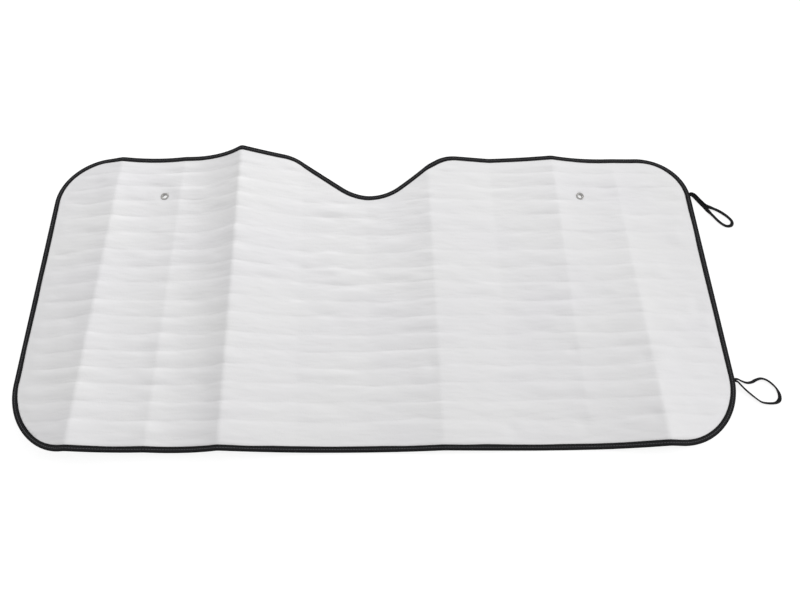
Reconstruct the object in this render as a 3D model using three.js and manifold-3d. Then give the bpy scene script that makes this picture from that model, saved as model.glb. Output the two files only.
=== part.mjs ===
// Folding windscreen sunshade, opened out and lying on the floor as it comes to rest.
// Millimetres. +X runs along the width, +Y towards the mirror notch, +Z up from the floor.
//
// The shade is one foam sheet with pressed creases. It is described flat, by s along its width
// and t along its height, and then folded: every crease and panel middle has a height, and the
// distance along the sheet between two creases stays what it is on the flat sheet.

import * as THREE from 'three';
import { mergeVertices } from 'three/addons/utils/BufferGeometryUtils.js';
import Module from 'manifold-3d';

// Flat sheet
const flat_width = 1300;
const flat_height = 600;
const foam_thickness = 2.4;
const top_corner_radius = 97;
const bottom_corner_radius = 126;

// Mirror notch in the middle of the top edge
const notch_half_width = 154;
const notch_depth = 105;
const notch_shoulder_radius = 80;
const notch_root_radius = 99;

// Creases, whose pattern lies a little to the left of the sheet's middle
const crease_pitch = 128;
const crease_offset = -9;

// Binding tape folded over the edge all round
const tape_thickness = 0.7;
const tape_cover = 11;

// How the sheet lies: heights of the creases over the floor, from the left edge to the right edge,
// and how far the middle of each panel hangs below the straight line between its two creases
const crease_heights_top = [8, 26, 24, 62, 15, 1, 24, 6, 16, 1, 3];
const crease_heights_bottom = [13, 46, 26, 34, 9, 2, 12, 2, 2, 28, 6];
const panel_sags_top = [1, 4, 10, 1.5, 0.5, 5, -0.5, 1.5, 6, 1.5];
const panel_sags_bottom = [1.5, 4.5, 11, 2, 2, 2.5, 0.5, 2.25, 6.5, 0];

// Ridges rolled into the foam, which run along the width
const ridge_pitch = 35;
const ridge_height = 1.2;
const ridge_half_width = 9;

// Eyelets for suction cups, near the top edge
const eyelet_bore = 9;
const eyelet_wall = 0.6;
const eyelet_flange = 16;
const eyelet_flange_thickness = 0.9;
const eyelet_lip = 12.6;
const eyelet_lip_thickness = 0.5;
const washer_thickness = 0.6;
const eyelet_from_notch_middle = 425;
const eyelet_from_top = 93;
const pressed_reach = 16;

// Elastic loops
const elastic_diameter = 2.6;

// Gap between pieces that touch
const seat_gap = 0.3;

// Fineness of the facets
const panel_steps = 3;
const arc_step = Math.PI / 14;
const station_spacing = 64;
const round_segments = 20;
const loop_steps = 44;
const loop_sides = 8;

const half_width = flat_width / 2;
const half_height = flat_height / 2;
const binding_half_thickness = foam_thickness / 2 + seat_gap + tape_thickness;

const wasm = await Module();
wasm.setup();

// Folded surface

/** Where the sheet folds or ends: its left edge, its creases and its right edge. */
function fold_lines() {
  const crease_count = crease_heights_top.length - 2;
  const creases = Array.from({ length: crease_count }, (_, i) => {
    return crease_offset + (i - (crease_count - 1) / 2) * crease_pitch;
  });
  return [-half_width, ...creases, half_width];
}

const lines = fold_lines();

/** Heights of one long edge at every column, from its crease heights and panel sags. */
function edge_heights(crease_heights, sags, columns) {
  return columns.map((s) => {
    let panel = 0;
    while (panel < lines.length - 2 && s > lines[panel + 1]) panel += 1;
    const w = (s - lines[panel]) / (lines[panel + 1] - lines[panel]);
    const chord = crease_heights[panel] * (1 - w) + crease_heights[panel + 1] * w;
    return chord - sags[panel] * 4 * w * (1 - w);
  });
}

/** Places along X of the columns, so that the sheet keeps its length, with the middle at 0. */
function edge_places(columns, heights) {
  const places = [0];
  for (let i = 1; i < columns.length; i += 1) {
    const run = columns[i] - columns[i - 1];
    const rise = heights[i] - heights[i - 1];
    places.push(places[i - 1] + Math.sqrt(Math.max(run * run - rise * rise, 0)));
  }
  const middle = interpolate(columns, places, 0);
  return places.map((x) => x - middle);
}

/** Straight-line interpolation in a sorted list, carried on straight past its ends. */
function interpolate(keys, values, key) {
  let i = 1;
  while (i < keys.length - 1 && key > keys[i]) i += 1;
  const w = (key - keys[i - 1]) / (keys[i] - keys[i - 1]);
  return values[i - 1] * (1 - w) + values[i] * w;
}

/** Sorted list without values that lie closer together than the given distance. */
function spaced(values, distance) {
  const sorted = [...values].sort((a, b) => a - b);
  return sorted.filter((value, i) => i === 0 || value - sorted[i - 1] > distance);
}

const eyelet_places = {
  left: { s: -eyelet_from_notch_middle, t: half_height - eyelet_from_top },
  right: { s: eyelet_from_notch_middle, t: half_height - eyelet_from_top },
};

/** Places across the sheet where it may bend: creases, steps in each panel, edges and eyelets. */
function bend_columns() {
  const eyelets = Object.values(eyelet_places).map((place) => place.s);
  const clear_of_eyelets = (s, distance) => eyelets.every((middle) => Math.abs(s - middle) > distance);
  const steps = lines.slice(1).flatMap((line, i) => {
    const step = (line - lines[i]) / panel_steps;
    return Array.from({ length: panel_steps - 1 }, (_, k) => lines[i] + (k + 1) * step);
  });
  const kept_steps = steps.filter((s) => clear_of_eyelets(s, pressed_reach + eyelet_flange / 2));
  const pressed = eyelets.flatMap((middle) => [middle - pressed_reach, middle + pressed_reach]);
  const edges = [edge_clearance, -overhang].flatMap((inset) => [inset - half_width, half_width - inset]);
  return spaced([...lines, ...kept_steps, ...pressed, ...edges], 0.01);
}

const overhang = 6;
const edge_clearance = tape_cover + 1;
const columns = bend_columns();
const fold = {
  top_heights: edge_heights(crease_heights_top, panel_sags_top, columns),
  bottom_heights: edge_heights(crease_heights_bottom, panel_sags_bottom, columns),
};
fold.top_places = edge_places(columns, fold.top_heights);
fold.bottom_places = edge_places(columns, fold.bottom_heights);

/** Point of the folded sheet's middle surface, before it is centred over the origin. */
function folded(s, t) {
  const up = (t + half_height) / flat_height;
  const mix = (top, bottom) => interpolate(columns, top, s) * up + interpolate(columns, bottom, s) * (1 - up);
  const x = mix(fold.top_places, fold.bottom_places);
  const z = mix(fold.top_heights, fold.bottom_heights);
  return new THREE.Vector3(x, t, z + binding_half_thickness);
}

/** Unit normal of the folded middle surface, pointing up. */
function folded_normal(s, t) {
  const reach = 1;
  const along = folded(s + reach, t).sub(folded(s - reach, t));
  const across = folded(s, t + reach).sub(folded(s, t - reach));
  return along.cross(across).normalize();
}

// Outline

/** Polygon corners with rounded corners: points of the flat outline, pulled in by inset. */
function flat_outline(inset) {
  const corners = [
    { at: [-half_width, -half_height], radius: bottom_corner_radius },
    { at: [half_width, -half_height], radius: bottom_corner_radius },
    { at: [half_width, half_height], radius: top_corner_radius },
    { at: [notch_half_width, half_height], radius: notch_shoulder_radius },
    { at: [0, half_height - notch_depth], radius: notch_root_radius },
    { at: [-notch_half_width, half_height], radius: notch_shoulder_radius },
    { at: [-half_width, half_height], radius: top_corner_radius },
  ].map((corner) => ({ at: new THREE.Vector2(...corner.at), radius: corner.radius }));

  const rounded = corners.flatMap((corner, i) => {
    const before = corners[(i + corners.length - 1) % corners.length].at;
    const after = corners[(i + 1) % corners.length].at;
    return rounded_corner(before, corner.at, after, corner.radius, inset);
  });

  // Long straight runs get points between their ends, so that they fold with the sheet
  return rounded.flatMap((point, i) => {
    const next = rounded[(i + 1) % rounded.length];
    const count = Math.max(1, Math.ceil(point.distanceTo(next) / station_spacing));
    return Array.from({ length: count }, (_, k) => point.clone().lerp(next, k / count));
  });
}

/** Points along the arc that rounds one corner of the outline, pulled in by inset. */
function rounded_corner(before, at, after, radius, inset) {
  const to_before = before.clone().sub(at).normalize();
  const to_after = after.clone().sub(at).normalize();
  const turn = Math.PI - Math.acos(to_before.dot(to_after));
  const convex = to_after.cross(to_before) > 0;
  const centre_direction = to_before.clone().add(to_after).normalize();
  const centre = at.clone().addScaledVector(centre_direction, radius / Math.cos(turn / 2));
  const arc_radius = convex ? radius - inset : radius + inset;
  const side = convex ? 1 : -1;
  const middle_angle = Math.atan2(-centre_direction.y, -centre_direction.x);
  const count = Math.max(2, Math.ceil(turn / arc_step));
  return Array.from({ length: count + 1 }, (_, k) => {
    const angle = middle_angle + side * turn * (k / count - 0.5);
    return new THREE.Vector2(Math.cos(angle), Math.sin(angle)).multiplyScalar(arc_radius).add(centre);
  });
}

const outer_outline = flat_outline(0);

/** Distance from a point of the flat sheet in to its edge, negative outside. */
function distance_from_edge(s, t) {
  const point = new THREE.Vector2(s, t);
  let nearest = Infinity;
  let inside = false;
  outer_outline.forEach((a, i) => {
    const b = outer_outline[(i + 1) % outer_outline.length];
    const edge = b.clone().sub(a);
    const share = THREE.MathUtils.clamp(point.clone().sub(a).dot(edge) / edge.lengthSq(), 0, 1);
    nearest = Math.min(nearest, a.clone().addScaledVector(edge, share).distanceTo(point));
    if (a.y > t !== b.y > t && s < a.x + ((t - a.y) / (b.y - a.y)) * edge.x) inside = !inside;
  });
  return inside ? nearest : -nearest;
}

// Solids from meshes and back

/** Closed geometry as a solid that can be cut and joined. */
function to_solid(geometry) {
  const bare = geometry.clone();
  bare.deleteAttribute('normal');
  bare.deleteAttribute('uv');
  const merged = mergeVertices(bare, 1e-4);
  return new wasm.Manifold(new wasm.Mesh({
    numProp: 3,
    vertProperties: new Float32Array(merged.attributes.position.array),
    triVerts: new Uint32Array(merged.index.array),
  }));
}

/** Solid as a geometry. */
function to_geometry(solid) {
  const mesh = solid.getMesh();
  const geometry = new THREE.BufferGeometry();
  geometry.setAttribute('position', new THREE.BufferAttribute(new Float32Array(mesh.vertProperties), 3));
  geometry.setIndex(new THREE.BufferAttribute(new Uint32Array(mesh.triVerts), 1));
  geometry.computeVertexNormals();
  return geometry;
}

/** Upright prism over the folded plan of the outline, pulled in by inset. */
function plan_prism(inset) {
  const plan = flat_outline(inset).map((point) => folded(point.x, point.y));
  const shape = new THREE.Shape(plan.map((point) => new THREE.Vector2(point.x, point.y)));
  const tallest = Math.max(...crease_heights_top, ...crease_heights_bottom);
  const depth = 2 * tallest + 4 * binding_half_thickness;
  const prism = new THREE.ExtrudeGeometry(shape, { depth, bevelEnabled: false });
  return to_solid(prism.translate(0, 0, -tallest));
}

/** Folded slab between two offsets from the middle surface, with a lift for each grid point. */
function folded_slab(rows, low, high, lift = () => 0) {
  const across = columns.length;
  const layer = across * rows.length;
  const positions = [];
  for (const offset of [low, high]) {
    rows.forEach((t, j) => columns.forEach((s, i) => {
      const point = folded(s, t);
      positions.push(point.x, point.y, point.z + offset + lift(i, j));
    }));
  }
  const index = [];
  const quad = (a, b, c, d) => index.push(a, b, c, a, c, d);
  for (let j = 0; j < rows.length - 1; j += 1) {
    for (let i = 0; i < across - 1; i += 1) {
      const a = j * across + i;
      quad(layer + a, layer + a + 1, layer + a + across + 1, layer + a + across);
      index.push(a, a + across + 1, a + 1, a, a + across, a + across + 1);
    }
  }
  const wall = (a, b) => quad(a, b, layer + b, layer + a);
  for (let i = 0; i < across - 1; i += 1) {
    wall(i, i + 1);
    wall(layer - i - 1, layer - i - 2);
  }
  for (let j = 0; j < rows.length - 1; j += 1) {
    wall((j + 1) * across, j * across);
    wall((j + 1) * across - 1, (j + 2) * across - 1);
  }
  const geometry = new THREE.BufferGeometry();
  geometry.setAttribute('position', new THREE.Float32BufferAttribute(positions, 3));
  geometry.setIndex(index);
  return to_solid(geometry);
}

// Foam sheet

/** Rows of the foam's grid: the foot, crest and foot of each rolled ridge, and the edge rows. */
function foam_rows() {
  const edge_row = half_height - edge_clearance;
  const rows = [-half_height - overhang, half_height + overhang, -edge_row, edge_row];
  const count = Math.floor((2 * edge_row) / ridge_pitch);
  for (let k = 0; k < count; k += 1) {
    const crest = (k - (count - 1) / 2) * ridge_pitch;
    rows.push(crest - ridge_half_width, crest, crest + ridge_half_width);
  }
  return { rows: spaced(rows, 1), is_crest: (t) => is_crest_row(t, count) };
}

/** True on the crest of one of the rolled ridges. */
function is_crest_row(t, count) {
  const k = t / ridge_pitch + (count - 1) / 2;
  return Math.abs(k - Math.round(k)) < 1e-6 && k > -0.5 && k < count - 0.5;
}

/** The foam sheet: folded, ridged, cut to the outline and holed for the eyelets. */
function foam_sheet() {
  const { rows, is_crest } = foam_rows();
  const uncovered = rows.map((t) => columns.map((s) => distance_from_edge(s, t) > tape_cover + seat_gap));
  const pressed = (s, t) => Object.values(eyelet_places).some((place) => {
    return Math.abs(s - place.s) < pressed_reach + 1 && Math.abs(t - place.t) < pressed_reach + ridge_half_width;
  });
  const lift = (i, j) => {
    if (!is_crest(rows[j]) || pressed(columns[i], rows[j])) return 0;
    const around = [-1, 0, 1].flatMap((dj) => [-1, 0, 1].map((di) => uncovered[j + dj]?.[i + di]));
    return around.every(Boolean) ? ridge_height : 0;
  };
  let sheet = folded_slab(rows, -foam_thickness / 2, foam_thickness / 2, lift);
  sheet = sheet.intersect(plan_prism(tape_thickness + seat_gap));
  for (const place of Object.values(eyelet_places)) {
    const hole_radius = eyelet_bore / 2 + eyelet_wall + seat_gap;
    const drill = new THREE.CylinderGeometry(hole_radius, hole_radius, 8 * foam_thickness, round_segments);
    drill.rotateX(Math.PI / 2);
    sheet = sheet.subtract(to_solid(drill.applyMatrix4(eyelet_frame(place))));
  }
  return to_geometry(sheet);
}

// Edge binding

/** The tape: one folded strip round the whole edge, with the foam's edge in its fold. */
function edge_binding() {
  const edge_row = half_height - edge_clearance;
  const row_count = Math.ceil((2 * edge_row) / station_spacing);
  const inner_rows = Array.from({ length: row_count + 1 }, (_, k) => edge_row * ((2 * k) / row_count - 1));
  const rows = [-half_height - overhang, ...inner_rows, half_height + overhang];
  const half_slot = foam_thickness / 2 + seat_gap;
  const outside = folded_slab(rows, -binding_half_thickness, binding_half_thickness);
  const slot = folded_slab(rows, -half_slot, half_slot).intersect(plan_prism(tape_thickness));
  const ring = outside.intersect(plan_prism(0)).subtract(plan_prism(tape_cover));
  return to_geometry(ring.subtract(slot));
}

// Eyelets

/** Frame of an eyelet: its origin on the sheet's middle surface, its Z along the sheet's normal. */
function eyelet_frame({ s, t }) {
  const normal = folded_normal(s, t);
  const turn = new THREE.Quaternion().setFromUnitVectors(new THREE.Vector3(0, 0, 1), normal);
  return new THREE.Matrix4().compose(folded(s, t), turn, new THREE.Vector3(1, 1, 1));
}

/** Height of the flange's seat over the middle surface, along the sheet's normal. */
function eyelet_seat({ s, t }) {
  return (foam_thickness / 2) * folded_normal(s, t).z + seat_gap;
}

/** A ring turned round Z from a closed profile of [radius, height] points. */
function turned_ring(profile) {
  const points = [...profile, profile[0]].map(([r, z]) => new THREE.Vector2(r, z));
  return new THREE.LatheGeometry(points, round_segments).rotateX(Math.PI / 2);
}

/** Eyelet: flange on the face, barrel through the sheet, lip rolled out under the washer. */
function eyelet(place) {
  const seat = eyelet_seat(place);
  const bore = eyelet_bore / 2;
  const barrel = bore + eyelet_wall;
  const flange = eyelet_flange / 2;
  const lip = eyelet_lip / 2;
  const top = seat + eyelet_flange_thickness;
  const lip_top = -seat - washer_thickness - seat_gap;
  const lip_bottom = lip_top - eyelet_lip_thickness;
  const rounding = eyelet_flange_thickness / 2;
  return turned_ring([
    [bore, lip_bottom + rounding / 2],
    [bore + rounding / 2, lip_bottom],
    [lip, lip_bottom],
    [lip, lip_top],
    [barrel, lip_top],
    [barrel, seat],
    [flange, seat],
    [flange, top - rounding],
    [flange - rounding, top],
    [bore + rounding, top],
    [bore, top - rounding],
  ]).applyMatrix4(eyelet_frame(place));
}

/** Washer under the sheet, round the eyelet's barrel. */
function washer(place) {
  const seat = eyelet_seat(place);
  const inner = eyelet_bore / 2 + eyelet_wall + seat_gap;
  const outer = eyelet_flange / 2;
  return turned_ring([
    [inner, -seat - washer_thickness],
    [outer, -seat - washer_thickness],
    [outer, -seat],
    [inner, -seat],
  ]).applyMatrix4(eyelet_frame(place));
}

// Elastic loops

// Each loop leaves the right edge's binding, droops to the floor and comes back to the binding.
// The upper loop's two strands run side by side before they part.
const upper_loop_route = [
  [640.2, 212.4, 5.7],
  [645.1, 212.3, 5.7],
  [650.9, 208.3, 5.5],
  [659.4, 196.1, 4.8],
  [668.7, 184.6, 4],
  [679.6, 179.5, 3.3],
  [690.1, 174.2, 2.7],
  [699.4, 167.5, 2.2],
  [708, 159, 1.9],
  [713.8, 149, 1.6],
  [710.9, 140.5, 1.5],
  [702.4, 138.4, 1.5],
  [694.5, 142.3, 1.7],
  [686.4, 150.8, 2.1],
  [677.9, 162.7, 2.9],
  [665.6, 179.4, 4],
  [656.3, 192.8, 4.8],
  [648.3, 205, 5.5],
  [644.5, 208.9, 5.7],
  [640.2, 209, 5.7],
];
const lower_loop_route = [
  [640.15, -178.2, 7.6],
  [646.6, -178.6, 7.5],
  [653.1, -182.1, 6.7],
  [662.1, -184.9, 5.5],
  [671.7, -183.5, 4.5],
  [680.6, -179.2, 3.7],
  [690.4, -176.4, 2.9],
  [699.7, -178.6, 2.2],
  [707.5, -184.9, 1.8],
  [713.8, -193.8, 1.5],
  [717.1, -204.3, 1.5],
  [715.4, -214.5, 1.5],
  [708, -220.7, 1.5],
  [696.6, -222, 1.5],
  [683.2, -220, 1.8],
  [672.3, -214.9, 2.6],
  [662.3, -207.8, 3.7],
  [654.2, -198.9, 5.2],
  [648.9, -189.1, 6.7],
  [646.2, -183.2, 7.4],
  [640.15, -181.6, 7.6],
];

/** Elastic cord along a smooth curve through the given points. */
function elastic_loop(points) {
  const route = new THREE.CatmullRomCurve3(points.map((point) => new THREE.Vector3(...point)));
  const section = new THREE.Shape(Array.from({ length: loop_sides }, (_, k) => {
    const angle = (2 * Math.PI * k) / loop_sides;
    return new THREE.Vector2(Math.cos(angle), Math.sin(angle)).multiplyScalar(elastic_diameter / 2);
  }));
  return new THREE.ExtrudeGeometry(section, { steps: loop_steps, extrudePath: route, bevelEnabled: false });
}

// Materials

const silver_film_foam = new THREE.MeshStandardMaterial({ color: '#dcdddf', roughness: 0.55, metalness: 0.1 });
const black_tape = new THREE.MeshStandardMaterial({ color: '#1c1c1e', roughness: 0.85, metalness: 0 });
const plated_steel = new THREE.MeshStandardMaterial({ color: '#a9aaac', roughness: 0.3, metalness: 1 });
const black_elastic = new THREE.MeshStandardMaterial({ color: '#121213', roughness: 0.8, metalness: 0 });

// Assembly

/** One named piece. */
function piece(name, geometry, material) {
  const mesh = new THREE.Mesh(geometry, material);
  mesh.name = name;
  return mesh;
}

// The sheet and what is fixed in it, centred over the origin
const plan_ends = outer_outline.map((point) => folded(point.x, point.y).x);
const bound_sheet = new THREE.Group();
bound_sheet.position.x = -(Math.min(...plan_ends) + Math.max(...plan_ends)) / 2;
bound_sheet.add(piece('foam_sheet', foam_sheet(), silver_film_foam));
bound_sheet.add(piece('edge_binding', edge_binding(), black_tape));
for (const [side, place] of Object.entries(eyelet_places)) {
  bound_sheet.add(piece(`${side}_eyelet`, eyelet(place), plated_steel));
  bound_sheet.add(piece(`${side}_eyelet_washer`, washer(place), plated_steel));
}

const sunshade = new THREE.Group();
sunshade.add(bound_sheet);
sunshade.add(piece('upper_elastic_loop', elastic_loop(upper_loop_route), black_elastic));
sunshade.add(piece('lower_elastic_loop', elastic_loop(lower_loop_route), black_elastic));

export default sunshade;
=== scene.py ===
"""Folding windscreen sunshade, opened out and lying on a pale studio floor.

Places and sizes are in millimetres until a mesh is made. A place on the flat sheet is s along its
width and t along its height, both from its middle.
"""

import logging
import math
from dataclasses import dataclass, field
from enum import Enum
from typing import Any

import bpy
import numpy as np
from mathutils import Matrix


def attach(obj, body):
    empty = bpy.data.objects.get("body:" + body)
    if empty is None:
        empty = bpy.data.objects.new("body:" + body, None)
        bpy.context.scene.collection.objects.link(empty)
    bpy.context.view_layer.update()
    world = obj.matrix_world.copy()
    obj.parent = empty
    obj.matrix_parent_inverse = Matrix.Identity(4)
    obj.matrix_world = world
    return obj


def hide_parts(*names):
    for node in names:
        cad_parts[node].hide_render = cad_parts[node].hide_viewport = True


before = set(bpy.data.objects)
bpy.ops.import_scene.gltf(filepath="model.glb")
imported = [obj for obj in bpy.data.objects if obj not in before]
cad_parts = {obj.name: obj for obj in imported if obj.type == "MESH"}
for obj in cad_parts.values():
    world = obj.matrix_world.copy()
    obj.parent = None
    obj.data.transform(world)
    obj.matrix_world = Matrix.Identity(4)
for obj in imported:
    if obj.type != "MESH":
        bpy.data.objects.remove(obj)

LOG = logging.getLogger("sunshade")
MM = 0.001
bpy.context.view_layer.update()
FLAT_MAP = "flat"
# Name of the share that paints a sheen along the binding's seam
PAINTED_SHEEN_SHARE = "painted_sheen"
NOISE_VALUES = 512
NOISE_START = 128


class Side(Enum):
    """Side of the sheet, as a sign along its width."""

    LEFT = -1
    RIGHT = 1


class Face(Enum):
    """Face of the sheet, as a sign along its normal."""

    UPPER = 1
    UNDER = -1


# Shared making of meshes, lines and nodes


def linear(code: str) -> tuple[float, float, float, float]:
    """Gives the linear colour of an sRGB hex value.

    Args:
        code: Six hex digits after a hash sign.

    Returns:
        Red, green, blue and alpha.
    """
    parts = [int(code[i : i + 2], 16) / 255 for i in (1, 3, 5)]
    red, green, blue = (p / 12.92 if p <= 0.04045 else ((p + 0.055) / 1.055) ** 2.4 for p in parts)
    return red, green, blue, 1.0


def add_node(
    tree: bpy.types.NodeTree,
    kind: str,
    settings: dict[str, Any] | None = None,
    inputs: dict[str | int, Any] | None = None,
) -> bpy.types.Node:
    """Adds a shader node with its settings, its values and the links into it.

    Args:
        tree: The node tree.
        kind: The node's type.
        settings: The node's own properties.
        inputs: A value, or the output socket that feeds it, for each input.

    Returns:
        The new node.
    """
    node = tree.nodes.new(kind)
    for name, value in (settings or {}).items():
        setattr(node, name, value)
    for name, value in (inputs or {}).items():
        if isinstance(value, bpy.types.NodeSocket):
            tree.links.new(value, node.inputs[name])
        else:
            node.inputs[name].default_value = value
    return node


def flat_pattern(tree: bpy.types.NodeTree, per_metre: tuple[float, float]) -> bpy.types.NodeSocket:
    """Gives a piece's own flat place, stretched to a number of pattern units for each metre.

    Args:
        tree: The node tree.
        per_metre: Pattern units for each metre along U and along V.

    Returns:
        The output socket with the stretched place.
    """
    place = add_node(tree, "ShaderNodeUVMap", {"uv_map": FLAT_MAP})
    values = {"Vector": place.outputs["UV"], "Scale": (*per_metre, 1.0)}
    return add_node(tree, "ShaderNodeMapping", inputs=values).outputs[0]


def seen(tree: bpy.types.NodeTree) -> bpy.types.NodeSocket:
    """Gives 1 on rays from the camera and through mirrors and glass, and 0 on the rest.

    Args:
        tree: The node tree.

    Returns:
        The output socket with the share.
    """
    path = add_node(tree, "ShaderNodeLightPath")
    share = path.outputs["Is Camera Ray"]
    for kind in ("Is Glossy Ray", "Is Transmission Ray"):
        either = {0: share, 1: path.outputs[kind]}
        share = add_node(tree, "ShaderNodeMath", {"operation": "MAXIMUM"}, either).outputs[0]
    return share


def make_mesh(
    name: str,
    points: np.ndarray,
    faces: list[tuple[int, ...]],
    material: bpy.types.Material,
    flat: np.ndarray | None = None,
) -> bpy.types.Object:
    """Makes a smooth mesh object at the origin from points in millimetres.

    Args:
        name: The piece's name.
        points: One row for each vertex, in the row frame.
        faces: Vertex numbers of each face, seen from outside.
        material: The piece's finish.
        flat: A flat place for each vertex, in millimetres, kept as a UV map in metres.

    Returns:
        The object, linked to the scene.
    """
    mesh = bpy.data.meshes.new(name)
    mesh.from_pydata((points * MM).tolist(), [], faces)
    mesh.materials.append(material)
    mesh.polygons.foreach_set("use_smooth", np.ones(len(mesh.polygons), dtype=bool))
    if flat is not None:
        loops = np.empty(len(mesh.loops), dtype=np.int32)
        mesh.loops.foreach_get("vertex_index", loops)
        layer = mesh.uv_layers.new(name=FLAT_MAP)
        layer.data.foreach_set("uv", (flat[loops] * MM).ravel())
    mesh.update()
    piece = bpy.data.objects.new(name, mesh)
    bpy.context.collection.objects.link(piece)
    return piece


def only(piece: bpy.types.Object) -> None:
    """Leaves one object selected and active.

    Args:
        piece: The object.
    """
    bpy.ops.object.select_all(action="DESELECT")
    piece.select_set(True)
    bpy.context.view_layer.objects.active = piece


def tube_faces(
    rings: int, around: int, first: int = 0, closed: bool = False, flipped: bool = False
) -> list[tuple[int, ...]]:
    """Gives the faces of a tube of rings of points, with a cap on each end where it is open.

    Args:
        rings: Number of rings.
        around: Number of points in each ring.
        first: Number of the first point.
        closed: Whether the last ring joins the first one.
        flipped: Whether the faces look the other way.

    Returns:
        Vertex numbers of each face.
    """
    faces = []
    for i in range(rings if closed else rings - 1):
        a, b = first + i * around, first + (i + 1) % rings * around
        for k in range(around):
            m = (k + 1) % around
            faces.append((a + k, a + m, b + m, b + k))
    if not closed:
        last = first + (rings - 1) * around
        faces.append(tuple(first + k for k in reversed(range(around))))
        faces.append(tuple(last + k for k in range(around)))
    return [face[::-1] for face in faces] if flipped else faces


def lengths(line: np.ndarray) -> np.ndarray:
    """Gives the length of a line up to each of its points."""
    return np.concatenate([[0], np.cumsum(np.linalg.norm(np.diff(line, axis=0), axis=1))])


def points_at(line: np.ndarray, places: np.ndarray) -> np.ndarray:
    """Gives the points of a line at some lengths along it."""
    length = lengths(line)
    return np.stack([np.interp(places, length, column) for column in line.T], axis=-1)


def ease(share: np.ndarray) -> np.ndarray:
    """Gives a soft step from 0 to 1 for shares from 0 to 1."""
    return share * share * (3 - 2 * share)


def smooth_noise(places: np.ndarray, spacing: float, seed: int) -> np.ndarray:
    """Gives smooth random values between about -1 and 1 along a line.

    Args:
        places: Where the values are wanted.
        spacing: Distance between two random values.
        seed: Start of the random numbers.

    Returns:
        One value for each place.
    """
    values = np.random.default_rng(seed).uniform(-1, 1, NOISE_VALUES)
    along = places / spacing + NOISE_START
    before = np.floor(along).astype(int)
    blend = ease(along - before)
    return values[before % NOISE_VALUES] * (1 - blend) + values[(before + 1) % NOISE_VALUES] * blend


@dataclass(frozen=True)
class Noise:
    """Smooth noise along a row, shifted from row to row so that no two rows are alike."""

    weight: float
    spacing: float
    seed: int
    shift: float = 0.0

    def at(self, places: np.ndarray, row: np.ndarray | float = 0.0) -> np.ndarray:
        """Gives the noise at places along a row."""
        return self.weight * smooth_noise(places + self.shift * row, self.spacing, self.seed)


# Sheet in its folds


@dataclass
class Fold:
    """How the flat sheet is creased and lies on the floor.

    Heights are those of the crease lines over the floor at the sheet's two long edges, from left
    to right, and each sag is how far a panel's middle hangs under the straight line between them.
    """

    flat_width: float = 1300.0
    flat_height: float = 600.0
    crease_pitch: float = 128.0
    crease_offset: float = -9.0
    heights_top: tuple[float, ...] = (8, 26, 24, 62, 15, 1, 24, 6, 16, 1, 3)
    heights_bottom: tuple[float, ...] = (13, 46, 26, 34, 9, 2, 12, 2, 2, 28, 6)
    sags_top: tuple[float, ...] = (4, 6, 11, 1.5, 0.5, 5, -0.5, 1.5, 5, 2)
    sags_bottom: tuple[float, ...] = (5, 6.5, 12, 2, 2, 2.5, 0.5, 2.25, 4.5, 3)
    middle_over_floor: float = 2.2
    centring: float = -3.75
    crease_radius: float = 3.0
    table_step: float = 0.5
    margin: float = 8.0
    lines: np.ndarray = field(init=False)
    table_s: np.ndarray = field(init=False)
    top: tuple[np.ndarray, np.ndarray] = field(init=False)
    bottom: tuple[np.ndarray, np.ndarray] = field(init=False)

    def __post_init__(self) -> None:
        """Works out the crease lines and the folded shape of both long edges."""
        count = len(self.heights_top) - 2
        creases = self.crease_offset + (np.arange(count) - (count - 1) / 2) * self.crease_pitch
        half = self.flat_width / 2
        self.lines = np.concatenate([[-half], creases, [half]])
        self.table_s = np.arange(-half - self.margin, half + self.margin + self.table_step, self.table_step)
        self.top = self.edge(self.heights_top, self.sags_top)
        self.bottom = self.edge(self.heights_bottom, self.sags_bottom)

    def edge(self, heights: tuple[float, ...], sags: tuple[float, ...]) -> tuple[np.ndarray, np.ndarray]:
        """Folds one long edge, which keeps its length.

        Args:
            heights: Height of each crease line.
            sags: Sag of each panel.

        Returns:
            Places along X and heights, at each place of the table.
        """
        s = self.table_s
        panel = np.clip(np.searchsorted(self.lines, s) - 1, 0, len(sags) - 1)
        w = (s - self.lines[panel]) / np.diff(self.lines)[panel]
        low, high = np.array(heights)[panel], np.array(heights)[panel + 1]
        z = low * (1 - w) + high * w - np.array(sags)[panel] * 4 * w * (1 - w)
        reach = int(3 * self.crease_radius / self.table_step)
        kernel = np.exp(-0.5 * (np.arange(-reach, reach + 1) * self.table_step / self.crease_radius) ** 2)
        z = np.convolve(np.pad(z, reach, mode="edge"), kernel / kernel.sum(), mode="valid")
        z = np.maximum(z, 0)
        run = np.sqrt(np.maximum(self.table_step**2 - np.diff(z) ** 2, 0))
        x = np.concatenate([[0], np.cumsum(run)])
        return x - np.interp(0, s, x), z

    def place(self, s: np.ndarray, t: np.ndarray, lift: np.ndarray | float = 0.0) -> np.ndarray:
        """Gives points of the folded sheet in the row frame.

        Args:
            s: Places along the flat width.
            t: Places along the flat height.
            lift: Height over the sheet's smooth middle surface.

        Returns:
            One row of x, y and z for each place.
        """
        up = (t + self.flat_height / 2) / self.flat_height
        table = self.table_s
        x, z = (
            np.interp(s, table, self.top[k]) * up + np.interp(s, table, self.bottom[k]) * (1 - up)
            for k in (0, 1)
        )
        y = np.broadcast_to(t, np.shape(x))
        return np.stack([x + self.centring, y, z + self.middle_over_floor + lift], axis=-1)

    def normal(self, s: np.ndarray, t: np.ndarray) -> np.ndarray:
        """Gives the upward unit normals of the smooth folded sheet.

        Args:
            s: Places along the flat width.
            t: Places along the flat height.

        Returns:
            One direction for each place.
        """
        reach = 1.0
        along = self.place(s + reach, t) - self.place(s - reach, t)
        across = self.place(s, t + reach) - self.place(s, t - reach)
        normal = np.cross(along, across)
        return normal / np.linalg.norm(normal, axis=-1, keepdims=True)


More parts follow.
